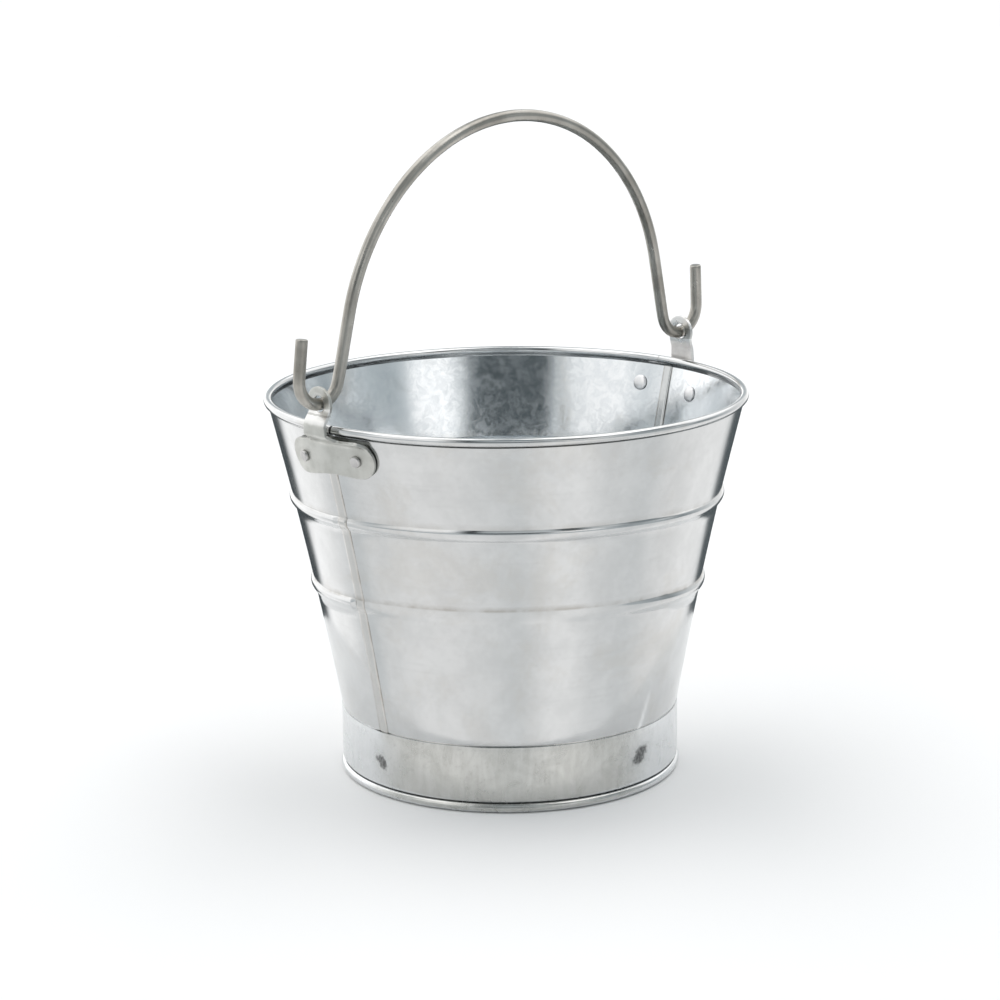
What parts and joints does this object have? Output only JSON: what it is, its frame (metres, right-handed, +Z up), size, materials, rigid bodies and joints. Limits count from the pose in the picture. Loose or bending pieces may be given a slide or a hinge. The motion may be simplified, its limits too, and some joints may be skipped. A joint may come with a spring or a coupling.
{
  "type": "florist bucket",
  "caption": "Small tapered galvanised bucket with a wired rim, raised beads, a curled foot band and a wire bail that swings in two riveted ears.",
  "frame": {"origin": "bottom centre, on the surface the bucket stands on", "axes": "+Z up along the bucket's axis; the two ears, the side seams and the bail's hinge line lie along X; the panel on the -Y side is the front"},
  "size_m": [0.2298, 0.2, 0.2749],
  "materials": {
    "galvanised_body": "satin",
    "galvanised_foot": "satin",
    "rim_steel": "satin",
    "ear_zinc": "matte",
    "rivet_zinc": "matte",
    "bail_wire": "satin"
  },
  "bodies": {
    "bucket": {"body_panel_front": "galvanised_body", "body_panel_rear": "galvanised_body", "rim_wire": "rim_steel", "bottom_disc": "galvanised_body", "foot_band": "galvanised_foot", "ear_left": "ear_zinc", "ear_right": "ear_zinc", "rivet_left_front": "rivet_zinc", "rivet_left_rear": "rivet_zinc", "rivet_right_front": "rivet_zinc", "rivet_right_rear": "rivet_zinc"},
    "bail": {"bail": "bail_wire"}
  },
  "joints": [
    {"name": "bail_swing", "type": "hinge", "parent": "bucket", "child": "bail", "pos_m": [0, 0, 0.16958], "axis": [0.9999, 0, 0.0108], "range_deg": [-95.5, 90.5]}
  ]
}
